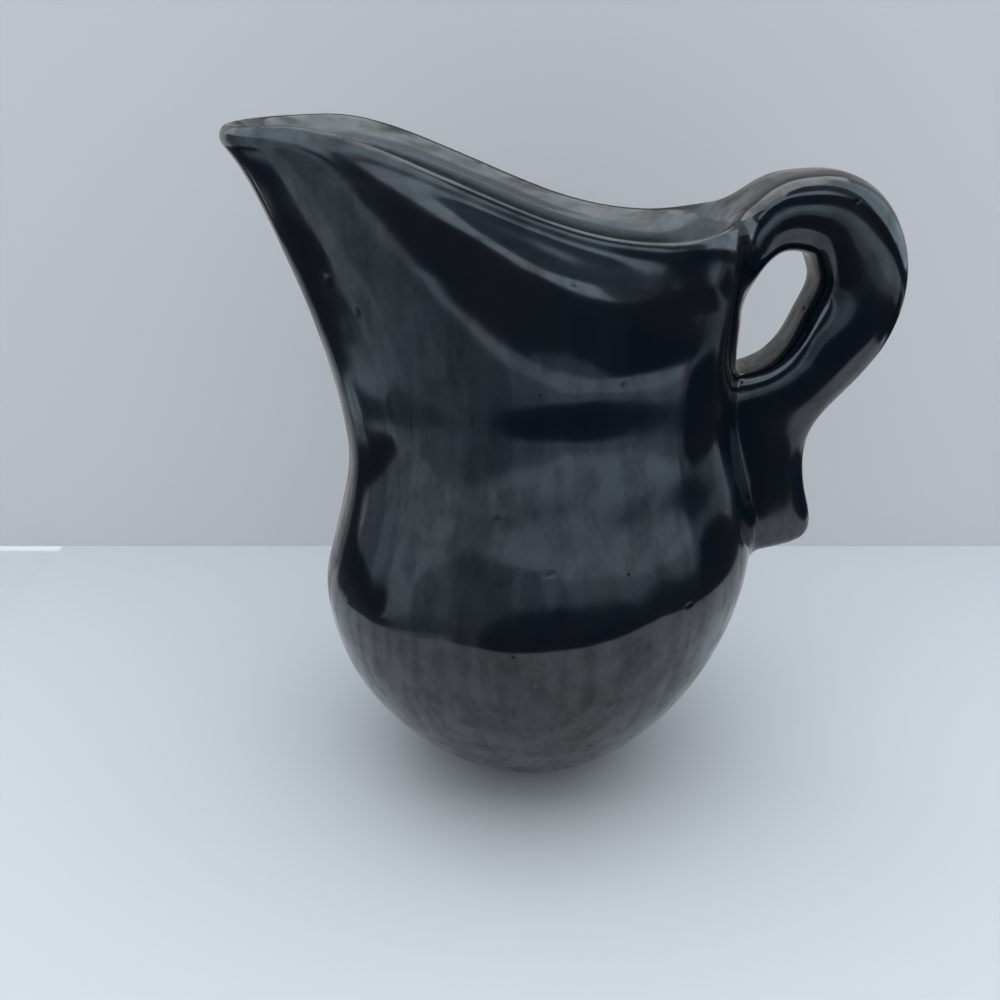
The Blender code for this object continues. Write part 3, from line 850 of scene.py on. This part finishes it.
def lift_piece(skin, index, finish):
    """One clay element as its own closed piece that stands for the frame's plain one."""
    bm = bmesh.new()
    bm.from_mesh(skin)
    element = bm.faces.layers.int["element"]
    others = [face for face in bm.faces if face[element] != index]
    bmesh.ops.delete(bm, geom=others, context='FACES')
    close_borders(bm)
    if index == BASE:
        rub_foot_flat(bm)
    bmesh.ops.recalc_face_normals(bm, faces=bm.faces)
    mesh = bpy.data.meshes.new(PIECES[index] + "_clay")
    bm.to_mesh(mesh)
    bm.free()
    mesh.materials.clear()
    mesh.materials.append(finish)
    keep_skin_shading(mesh)
    piece = in_scene(PIECES[index] + "_clay", mesh)
    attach(piece, "root")
    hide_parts(PIECES[index])


# Colours of the clay, as light they give back
BLACK = (0.0012, 0.0040, 0.0090)       # well burnished and full of smoke
BROWN = (0.0075, 0.0078, 0.0085)       # clouds where the smoke took less
DUST_AND_SHEEN_GREY = (0.3300, 0.3700, 0.4000)        # dust where unburnished, made lighter still as a painted sheen
WORN = (0.0300, 0.0305, 0.0300)        # shine rubbed off
HOLE = (0.0025, 0.0024, 0.0024)        # soot in the pits

# The body of the clay gives almost no shine.  The skin that the pebble closed lies over it
BODY_ROUGHNESS = 0.30
BODY_IOR = 1.04
SHINE_IOR = 1.68
SHINE_ROUGHNESS = 0.11
LIP_SHINE_ROUGHNESS = 0.14             # the lip and the tail were reached less well
FULL_SHINE = 1.14                      # over 1, so that a faint mark alone leaves it whole

# What each mark takes off the shine, adds to the roughness of the body, and does to the colour
SHINE_LOST = {"stroke": 0.24, "mottle": 0.24, "cloud": 0.18, "scratch": 0.25, "dust_and_sheen": 0.85,
              "wear": 0.35, "hole": 0.90}
ROUGHENED = {"stroke": 0.05, "tint": 0.05, "scratch": 0.06, "dust_and_sheen": 0.24, "wear": 0.12,
             "hole": 0.35}
# the inside takes a grey light enough to be partly a painted sheen in the mouth, besides its dust
COLOURED = {"scratch": (0.35, BROWN), "dust_and_sheen": (1.0, DUST_AND_SHEEN_GREY), "wear": (0.60, WORN),
            "hole": (0.80, HOLE)}
CLOUD_SHARE = 0.55
BASE_CLOUD_SHARE = 0.70
MOTTLE_SHARE = 0.16

# Sizes of the marks
STROKES = {"Width": 0.0022, "Length": 0.030}
STROKE_DEPTH = 0.000045
CLOUD_SIZE = 0.034
SPECKS = {"Spacing": 0.0065, "Radius": 0.10, "Share": 0.30}    # radius against the spacing
SPECK_DEPTH = 0.00012
GRAIN_SIZE = 0.0007
GRAIN_DEPTH = 0.0000022
CRUMB_DEPTH = 0.00002
SMALLEST_SPECK = 0.4                   # as a share of the largest
MOTTLE_FINENESS = 6.0                  # times finer than the clouds
CRUMB_FINENESS = 0.3                   # against the grain
SCRATCH_IN_HEIGHT = 0.22

# Between which values each pattern comes up from nothing to full
STROKE_RANGE = (0.36, 0.66)
SCRATCH_RANGE = (0.60, 0.78)
CLOUD_RANGE = (0.40, 0.66)
MOTTLE_RANGE = (0.35, 0.68)
RUBBED_RANGE = (0.35, 1.05)
WEAR_RANGE = (0.40, 0.85)
DUST_AND_SHEEN_RANGE = (0.30, 0.75)
LEAST_DUST_AND_SHEEN = 0.80
CRUMB_IN_WEAR = 0.9
STROKE_IN_WEAR = 0.35

# Where each body of clay starts in its pattern, and the turn that lays strokes along the lip
WALL_SHIFT = (0.31, 0.12, 0.05)
RIM_SHIFT = (0.07, 0.22, 0.15)
STRAP_SHIFT = (0.11, 0.02, 0.35)
NO_TURN = (0.0, 0.0, 0.0)
ALONG_RIM = (0.0, math.radians(90), 0.0)


def blend(tree, share, first, second):
    """Mix two colours."""
    return node(tree, 'ShaderNodeMix', {"Factor": share, "A": first, "B": second},
                data_type='RGBA').outputs["Result"]


def shader_group(name, inputs, outputs):
    return group('ShaderNodeTree', name, inputs, dict.fromkeys(outputs, 'Float'))


def burnish_strokes():
    """Strokes of the pebble along Z of the given space, and hair-fine scratches in them."""
    tree, given, result = shader_group(
        "burnish_strokes", {"Run": 'Vector', "Width": 'Float', "Length": 'Float'},
        ("Stroke", "Scratch", "Height"))
    place = in_strokes(tree, given["Run"], given["Width"], given["Length"])
    broad = noise(tree, place, scale=0.5, detail=2.0, roughness=0.55)
    fine = noise(tree, place, scale=3.2, detail=2.0, roughness=0.6)
    fill(tree, result, {
        "Stroke": spread(tree, broad, *STROKE_RANGE),
        "Scratch": spread(tree, fine, *SCRATCH_RANGE),
        "Height": add_up(tree, broad, [(fine, SCRATCH_IN_HEIGHT)]),
    })
    return tree


def smoke_clouds():
    """Soft clouds of the smoke firing and a finer mottle in them."""
    tree, given, result = shader_group(
        "smoke_clouds", {"Place": 'Vector', "Size": 'Float', "Shift": 'Vector'},
        ("Cloud", "Mottle"))
    place = node(tree, 'ShaderNodeVectorMath', {0: given["Place"], 1: given["Shift"]},
                 operation='ADD').outputs[0]
    scale = one_over(tree, given["Size"])
    finer = times(tree, scale, MOTTLE_FINENESS)
    broad = noise(tree, place, scale, detail=3.0, roughness=0.5, distortion=0.6)
    fine = noise(tree, place, finer, detail=4.0, roughness=0.6, distortion=0.3)
    fill(tree, result, {"Cloud": spread(tree, broad, *CLOUD_RANGE),
                        "Mottle": spread(tree, fine, *MOTTLE_RANGE)})
    return tree


def small_specks():
    """Scattered pin holes and crumbs."""
    tree, given, result = shader_group(
        "small_specks",
        {"Place": 'Vector', "Spacing": 'Float', "Radius": 'Float', "Share": 'Float'},
        ("Speck",))
    scale = one_over(tree, given["Spacing"])
    cells = node(tree, 'ShaderNodeTexVoronoi', {"Vector": given["Place"], "Scale": scale}).outputs
    draw = node(tree, 'ShaderNodeSeparateColor', {0: cells["Color"]}).outputs
    chosen = maths(tree, 'LESS_THAN', draw[0], given["Share"])
    size = spread(tree, draw[1], 0.0, 1.0, SMALLEST_SPECK, 1.0)
    radius = times(tree, given["Radius"], size)
    near = spread(tree, cells["Distance"], radius, 0.0)
    fill(tree, result, {"Speck": times(tree, near, chosen)})
    return tree


def clay_grain():
    """The grain of the clay under the shine, and coarser crumbs where it was left rough."""
    tree, given, result = shader_group(
        "clay_grain", {"Place": 'Vector', "Size": 'Float'}, ("Grain", "Crumb"))
    scale = one_over(tree, given["Size"])
    coarser = times(tree, scale, CRUMB_FINENESS)
    fill(tree, result, {
        "Grain": noise(tree, given["Place"], scale, detail=3.0, roughness=0.6),
        "Crumb": noise(tree, given["Place"], coarser, detail=5.0, roughness=0.7),
    })
    return tree


def new_material(name):
    material = bpy.data.materials.new(name)
    material.use_nodes = True
    return material, material.node_tree, material.node_tree.nodes["Principled BSDF"]


def placed(tree, shared, inputs):
    """A shared group, placed in a material with its own values."""
    return node(tree, 'ShaderNodeGroup', inputs, node_tree=shared).outputs


def attribute(tree, name, content="Fac"):
    return node(tree, 'ShaderNodeAttribute', attribute_name=name).outputs[content]


def clay_finish(name, groups, shift, along_strap=False, turn=NO_TURN, cloud_share=CLOUD_SHARE,
                shine=SHINE_ROUGHNESS):
    """Burnished clay.  Its strokes follow the height of the pot, or the strap."""
    strokes, clouds, specks, grain = groups
    material, tree, shader = new_material(name)
    place = node(tree, 'ShaderNodeTexCoord').outputs["Object"]
    run = attribute(tree, "run", "Vector") if along_strap else place
    turned = node(tree, 'ShaderNodeMapping', {"Vector": run, "Rotation": turn, "Location": shift})
    stroke = placed(tree, strokes, {"Run": turned.outputs[0], **STROKES})
    cloud = placed(tree, clouds, {"Place": place, "Size": CLOUD_SIZE, "Shift": shift})
    speck = placed(tree, specks, {"Place": place, **SPECKS})["Speck"]
    fine = placed(tree, grain, {"Place": place, "Size": GRAIN_SIZE})
    crumb = fine["Crumb"]

    # worn edges break up along the grain and the strokes
    break_up = add_up(tree, 0.0, [(crumb, CRUMB_IN_WEAR), (stroke["Stroke"], STROKE_IN_WEAR)])
    worn_here = spread(tree, attribute(tree, "rubbed"), *RUBBED_RANGE)
    # patches of the inside's light grey, which is partly dust and partly painted sheen
    dust_and_sheen_patches = spread(tree, crumb, *DUST_AND_SHEEN_RANGE, LEAST_DUST_AND_SHEEN, 1.0)
    marks = {
        "stroke": stroke["Stroke"],
        "scratch": stroke["Scratch"],
        "cloud": cloud["Cloud"],
        "mottle": cloud["Mottle"],
        "tint": add_up(tree, 0.0, [(cloud["Cloud"], cloud_share), (cloud["Mottle"], MOTTLE_SHARE)],
                       clamp=True),
        "wear": times(tree, worn_here, spread(tree, break_up, *WEAR_RANGE)),
        # the inside's light grey: partly dust, partly painted sheen
        "dust_and_sheen": times(tree, attribute(tree, "inside"), dust_and_sheen_patches),
        "hole": maths(tree, 'MAXIMUM', speck, attribute(tree, "pitted")),
    }

    colour = blend(tree, marks["tint"], BLACK, BROWN)
    for mark, (share, shade) in COLOURED.items():
        colour = blend(tree, times(tree, marks[mark], share), colour, shade)
    rough = [(marks[mark], weight) for mark, weight in ROUGHENED.items()]
    lost = [(marks[mark], -weight) for mark, weight in SHINE_LOST.items()]
    height = add_up(tree, 0.0, [
        (stroke["Height"], STROKE_DEPTH),
        (fine["Grain"], GRAIN_DEPTH),
        (times(tree, crumb, marks["dust_and_sheen"]), CRUMB_DEPTH),
        (speck, -SPECK_DEPTH),
    ])
    bump = node(tree, 'ShaderNodeBump', {"Strength": 1.0, "Distance": 1.0, "Height": height})
    fill(tree, shader, {
        "Base Color": colour,
        "Metallic": 0.0,
        "Roughness": add_up(tree, BODY_ROUGHNESS, rough, clamp=True),
        "IOR": BODY_IOR,
        "Normal": bump.outputs["Normal"],
        "Coat Weight": add_up(tree, FULL_SHINE, lost, clamp=True),
        "Coat Roughness": shine,
        "Coat IOR": SHINE_IOR,
    })
    return material


def finishes():
    """The finish of each element, in the order of PIECES."""
    groups = (burnish_strokes(), smoke_clouds(), small_specks(), clay_grain())
    return (
        clay_finish("burnished_base", groups, WALL_SHIFT, cloud_share=BASE_CLOUD_SHARE),
        clay_finish("burnished_belly", groups, WALL_SHIFT),
        clay_finish("burnished_neck", groups, WALL_SHIFT),
        clay_finish("burnished_spout", groups, WALL_SHIFT),
        clay_finish("burnished_rim", groups, RIM_SHIFT, turn=ALONG_RIM, shine=LIP_SHINE_ROUGHNESS),
        clay_finish("burnished_strap", groups, STRAP_SHIFT, along_strap=True),
        clay_finish("burnished_tail", groups, STRAP_SHIFT, along_strap=True,
                    shine=LIP_SHINE_ROUGHNESS),
    )


def raw_clay():
    """What the skin wears until it is cut into its elements."""
    material, tree, shader = new_material("raw_clay")
    fill(tree, shader, {"Base Color": DUST_AND_SHEEN_GREY})
    return material


def make_pitcher():
    under = raw_clay()
    cage = build_cage()
    pull_cage_out(cage)
    bmesh.ops.recalc_face_normals(cage.bm, faces=cage.bm.faces)
    skin = smooth_skin(cage.bm, under)
    cage.bm.free()
    for index, finish in enumerate(finishes()):
        lift_piece(skin, index, finish)
    bpy.data.meshes.remove(skin)
    bpy.data.materials.remove(under)


# Camera
EYE = (-0.0090, -0.2600, 0.1966)
LOOK_DOWN = math.radians(24)
LENS_MM = 36.1
SENSOR_MM = 36.0
NEAREST_SEEN = 0.01

# Board, backdrop and light
BOARD_LEFT, BOARD_RIGHT = -0.200, 0.31
BOARD_FRONT, BOARD_BACK = -0.205, 0.132
BOARD_COLOUR = (0.62, 0.65, 0.68)
BACKDROP_COLOUR = (0.67, 0.68, 0.70)
BACKDROP_HALF_WIDTH = 0.60
BACKDROP_HEIGHT = 0.32
BACKDROP_IN_SHINE = (-0.17, 0.16)   # left and right end of it as the clay shows it
BACKDROP_SHINE_BRIGHTNESS = 0.42
PAINT_ROUGHNESS = 0.9
PAINT_SHINE = 0.1
GROUND_DEPTH = 0.002         # the ground lies this much under the face of the board
GROUND_REACH = 3.0
ROOM_COLOUR = (0.63, 0.66, 0.69)
SKY_COLOUR = (0.93, 0.98, 1.00)
SKY_BRIGHTNESS = 1.75
SKY_FACE_BRIGHTNESS = 2.6    # as the clay shows it
SKY_HEIGHT = 1.10
SKY_WIDTH = 1.50
WINDOW_COLOUR = (0.76, 0.94, 1.08)
CARD_STEP = 4.0              # degrees between the folds of a card
FAR_DOWN = -0.60             # lower edge of a card that goes down out of sight
FAR_UP = 1.05

# The room as upright cards round the pot, which show in its shine.  For each its brightness and
# its distance from the middle of the foot, then stations: degrees round from the camera, lower
# edge and upper edge.  A nearer card hides what lies behind it
CARDS = {
    # dark corners low on both sides, and on the left two nearer cards in front of them
    "left_corner": (0.02, 0.44, ((-128, -0.068, 0.020), (-120, -0.065, 0.016),
                                 (-110, -0.062, 0.004), (-100, -0.053, 0.004),
                                 (-90, -0.042, 0.005), (-84, -0.030, 0.010),
                                 (-80, -0.010, 0.010))),
    "near_left": (0.08, 0.30, ((-108, -0.034, -0.002), (-83, -0.030, 0.002),
                               (-76, -0.020, 0.012))),
    "near_middle": (0.26, 0.30, ((-76, -0.020, 0.012), (-69, -0.010, 0.024), (-52, 0.012, 0.036),
                                 (-40, 0.014, 0.036), (-28, 0.006, 0.026))),
    "right_corner": (0.02, 0.44, ((82, -0.045, 0.060), (87, -0.045, 0.074), (100, -0.045, 0.055),
                                  (107, -0.050, 0.034), (112, -0.055, 0.016),
                                  (120, -0.065, 0.030), (132, -0.050, 0.030))),

    # the dark in the neck, the light across it, and what the handle shows
    "tall_card": (0.06, 0.45, ((-49, 0.145, 0.17), (-40, 0.160, 0.20), (-33, 0.165, 0.31),
                               (-20, 0.172, 0.38), (-10, 0.176, 0.42), (0, 0.178, 0.455),
                               (20, 0.172, 0.455), (30, 0.167, 0.41), (40, 0.160, 0.36),
                               (46, 0.154, 0.34))),
    "right_dark": (0.02, 0.45, ((46, 0.154, 0.34), (60, 0.137, 0.26), (70, 0.115, 0.20),
                                (80, 0.092, 0.16), (90, 0.082, 0.13), (100, 0.075, 0.12),
                                (120, 0.05, 0.10))),
    "neck_light": (0.36, 0.445, ((3, 0.176, 0.195), (12, 0.176, 0.215), (20, 0.172, 0.230),
                                 (30, 0.168, 0.215), (36, 0.163, 0.180))),
    "handle_card": (0.24, 0.44, ((16, 0.56, FAR_UP), (43, 0.48, FAR_UP), (45, 0.33, FAR_UP),
                                 (57, 0.28, FAR_UP), (60, 0.56, FAR_UP))),

    # the dark band round the lower belly
    "low_card": (0.04, 0.45, ((-27, FAR_DOWN, 0.018), (-15, FAR_DOWN, 0.036), (0, FAR_DOWN, 0.048),
                              (10, FAR_DOWN, 0.060), (30, FAR_DOWN, 0.064), (42, FAR_DOWN, 0.052),
                              (60, FAR_DOWN, 0.050), (72, FAR_DOWN, 0.036),
                              (84, FAR_DOWN, 0.028))),
    "low_left": (0.22, 0.45, ((-38, FAR_DOWN, 0.010), (-27, FAR_DOWN, 0.018))),

    # the light patch on the belly
    "ledge_left": (0.49, 0.45, ((-66, -0.030, 0.045), (-60, -0.030, 0.085), (-50, -0.030, 0.118),
                                (-43, -0.020, 0.133))),
    "ledge_dim": (0.37, 0.45, ((-43, -0.020, 0.133), (-36, 0.000, 0.142))),
    "ledge_middle": (0.29, 0.455, ((-36, 0.000, 0.142), (-22, 0.000, 0.142),
                                   (-12, 0.000, 0.138))),
    "ledge_turn": (0.45, 0.455, ((-12, 0.000, 0.138), (4, 0.000, 0.130))),
    "ledge_right": (0.56, 0.455, ((4, 0.000, 0.130), (14, 0.000, 0.106), (30, 0.000, 0.105),
                                  (45, 0.000, 0.080), (62, 0.000, 0.072), (78, 0.000, 0.072))),

    # the windows and walls behind them
    "window": (1.02, 0.46, ((-36, 0.10, 0.20), (78, 0.05, 0.20))),
    "window_left": (0.95, 0.46, ((-66, 0.040, 0.26), (-36, 0.040, 0.20))),
    "side_window": (0.80, 0.46, ((-82, 0.000, 0.26), (-66, 0.000, 0.26))),
    "side_turn": (0.55, 0.46, ((-94, -0.010, 0.26), (-82, -0.010, 0.26))),
    "side_wall": (0.30, 0.46, ((-112, -0.020, 0.26), (-94, -0.020, 0.26))),
    "right_wall": (0.36, 0.46, ((78, 0.000, 0.12), (125, 0.000, 0.12))),

    # behind the pot on the left, then the path beyond the board and the low sky over it all
    "back_left": (0.25, 0.45, ((-178, FAR_DOWN, 0.0), (-150, FAR_DOWN, 0.03),
                               (-140, FAR_DOWN, 0.02), (-126, FAR_DOWN, 0.0))),
    "back_dark": (0.03, 0.45, ((-178, 0.00, 0.10), (-150, 0.03, 0.10), (-140, 0.02, 0.075),
                               (-126, 0.00, 0.025))),
    "path_back": (0.52, 0.47, ((-126, FAR_DOWN, 0.0), (-114, FAR_DOWN, 0.0))),
    "path": (0.76, 0.47, ((-114, FAR_DOWN, 0.0), (-78, FAR_DOWN, 0.0))),
    "path_far": (0.64, 0.47, ((-78, FAR_DOWN, 0.05), (-58, FAR_DOWN, 0.05))),
    "path_end": (0.50, 0.47, ((-58, FAR_DOWN, 0.05), (-45, FAR_DOWN, 0.05))),
    "path_dim": (0.36, 0.47, ((-45, FAR_DOWN, 0.05), (-36, FAR_DOWN, 0.05))),
    "path_right": (0.80, 0.47, ((84, FAR_DOWN, 0.0), (130, FAR_DOWN, 0.0))),
    "low_sky": (1.85, 0.48, ((-120, 0.24, FAR_UP), (-60, 0.22, FAR_UP), (-36, 0.15, FAR_UP),
                             (60, 0.20, FAR_UP), (112, 0.10, FAR_UP))),
}


def camera():
    data = bpy.data.cameras.new("camera")
    data.sensor_width = SENSOR_MM
    data.lens = LENS_MM
    data.clip_start = NEAREST_SEEN
    item = in_scene("camera", data)
    item.location = EYE
    item.rotation_euler = (math.radians(90) - LOOK_DOWN, 0.0, 0.0)
    bpy.context.scene.camera = item


def show_shader(tree, outcome):
    fill(tree, tree.nodes["Material Output"], {"Surface": outcome})


def plain_paint(name, colour, one_sided=False):
    """Matt paint.  A one-sided sheet lets the view through from behind."""
    material, tree, shader = new_material(name)
    fill(tree, shader, {"Base Color": colour, "Roughness": PAINT_ROUGHNESS,
                        "Specular IOR Level": PAINT_SHINE})
    if one_sided:
        behind = node(tree, 'ShaderNodeNewGeometry').outputs["Backfacing"]
        clear = node(tree, 'ShaderNodeBsdfTransparent').outputs["BSDF"]
        front = shader.outputs["BSDF"]
        pick = node(tree, 'ShaderNodeMixShader', {"Fac": behind, 1: front, 2: clear})
        show_shader(tree, pick.outputs[0])
    return material


def glow(name, colour, brightness):
    """The finish of a sheet that only shines."""
    material, tree, shader = new_material(name)
    tree.nodes.remove(shader)
    light = node(tree, 'ShaderNodeEmission', {"Color": colour, "Strength": brightness})
    show_shader(tree, light.outputs[0])
    material.cycles.emission_sampling = 'NONE'
    return material


def stage_sheet(name, points, faces, material):
    mesh = bpy.data.meshes.new(name)
    mesh.from_pydata(points, [], faces)
    mesh.materials.append(material)
    sheet = in_scene(name, mesh)
    return sheet


def flat_sheet(name, start, end, material):
    """A level or an upright sheet between two opposite corners."""
    left, front, low = start
    right, back, high = end
    points = [(left, front, low), (right, front, low), (right, back, high), (left, back, high)]
    return stage_sheet(name, points, [(0, 1, 2, 3)], material)


def only_in_shine(sheet):
    """The clay shows the sheet, which is not seen itself and takes no light away."""
    sheet.visible_camera = False
    sheet.visible_diffuse = False
    sheet.visible_transmission = False
    sheet.visible_shadow = False


def bent_card(name, brightness, distance, stations):
    """An upright card bent round the pot.  0 degrees faces the camera, + is to its right."""
    points = []
    for start, end in zip(stations, stations[1:]):
        steps = max(1, round((end[0] - start[0]) / CARD_STEP))
        for step in range(steps + 1):
            turn, low, high = (first + (last - first) * step / steps
                               for first, last in zip(start, end))
            x, y = math.sin(math.radians(turn)), -math.cos(math.radians(turn))
            points += [(distance * x, distance * y, low), (distance * x, distance * y, high)]
    faces = [(n, n + 1, n + 3, n + 2) for n in range(0, len(points) - 2, 2)]
    only_in_shine(stage_sheet(name, points, faces, glow(name, WINDOW_COLOUR, brightness)))


def overhead_light():
    """A wide soft light over the pot, and its face as the clay shows it."""
    data = bpy.data.lights.new("sky_light", 'AREA')
    data.shape = 'SQUARE'
    data.size = SKY_WIDTH
    data.color = SKY_COLOUR
    data.energy = SKY_BRIGHTNESS * math.pi * SKY_WIDTH ** 2
    light = in_scene("sky_light", data)
    light.location = (0.0, 0.0, SKY_HEIGHT)
    light.visible_camera = False
    light.visible_glossy = False
    half = SKY_WIDTH / 2.0
    only_in_shine(flat_sheet("sky_face", (-half, -half, SKY_HEIGHT), (half, half, SKY_HEIGHT),
                             glow("sky_face", SKY_COLOUR, SKY_FACE_BRIGHTNESS)))


def stage():
    """The board, the backdrop, the room as the clay shows it, and the light."""
    board = plain_paint("board_paint", BOARD_COLOUR)
    flat_sheet("board", (BOARD_LEFT, BOARD_FRONT, 0.0), (BOARD_RIGHT, BOARD_BACK, 0.0), board)
    ground = flat_sheet("ground", (-GROUND_REACH, -GROUND_REACH, -GROUND_DEPTH),
                        (GROUND_REACH, GROUND_REACH, -GROUND_DEPTH), board)
    ground.visible_glossy = False
    backdrop = flat_sheet("backdrop", (-BACKDROP_HALF_WIDTH, BOARD_BACK, 0.0),
                          (BACKDROP_HALF_WIDTH, BOARD_BACK, BACKDROP_HEIGHT),
                          plain_paint("backdrop_paint", BACKDROP_COLOUR, one_sided=True))
    backdrop.visible_glossy = False
    left, right = BACKDROP_IN_SHINE
    strength = BACKDROP_SHINE_BRIGHTNESS / BACKDROP_COLOUR[1]
    only_in_shine(flat_sheet("backdrop_in_shine", (left, BOARD_BACK, 0.0),
                             (right, BOARD_BACK, BACKDROP_HEIGHT),
                             glow("backdrop_in_shine", BACKDROP_COLOUR, strength)))
    for name, card in CARDS.items():
        bent_card(name, *card)
    overhead_light()
    world = bpy.data.worlds.new("room")
    world.use_nodes = True
    fill(world.node_tree, world.node_tree.nodes["Background"],
         {"Color": ROOM_COLOUR, "Strength": 1.0})
    world.cycles.sampling_method = 'NONE'
    bpy.context.scene.world = world
    bpy.context.scene.view_settings.view_transform = 'Standard'


camera()
stage()
make_pitcher()
